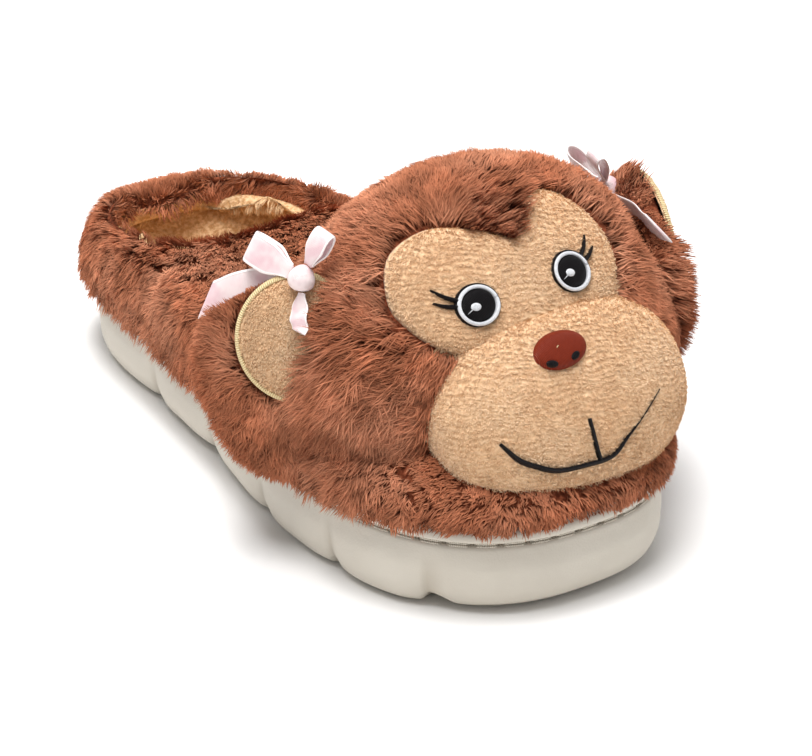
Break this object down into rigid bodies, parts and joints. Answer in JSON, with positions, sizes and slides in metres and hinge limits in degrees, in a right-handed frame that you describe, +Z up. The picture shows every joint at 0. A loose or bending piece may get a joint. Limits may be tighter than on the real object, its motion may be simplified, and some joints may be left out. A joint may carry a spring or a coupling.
{
  "type": "animal slipper",
  "caption": "Furry brown monkey-head mule slipper with a thick scalloped cream foam sole, tan face and muzzle, round ears and pale pink ribbon bows.",
  "frame": {"origin": "the point under the heel where the slipper rests on the floor, 40 mm ahead of the heel's back edge", "axes": "+Z up from the floor, -Y towards the toe, +X towards the wearer's left"},
  "size_m": [0.1648, 0.2755, 0.117],
  "materials": {
    "foam": "matt moulded foam",
    "lining": "short tan plush",
    "fur": "long combed reddish brown fur",
    "plush": "short ribbed tan plush",
    "satin": "pale pink satin ribbon",
    "nose_thread": "reddish brown embroidery",
    "eye_thread": "black embroidery with a white ring"
  },
  "bodies": {
    "root": {"outsole": "foam", "insole": "lining", "upper": "fur", "head_hood": "fur", "face_panel": "plush", "muzzle": "plush", "nose": "nose_thread", "eye_right": "eye_thread", "eye_left": "eye_thread", "ear_right": "fur", "ear_left": "fur", "ear_patch_right": "plush", "ear_patch_left": "plush", "bow_knot_right": "satin", "bow_knot_left": "satin", "bow_loop_outer_right": "satin", "bow_loop_outer_left": "satin", "bow_loop_inner_right": "satin", "bow_loop_inner_left": "satin", "bow_tail_long_right": "satin", "bow_tail_long_left": "satin", "bow_tail_short_right": "satin", "bow_tail_short_left": "satin"}
  },
  "joints": []
}
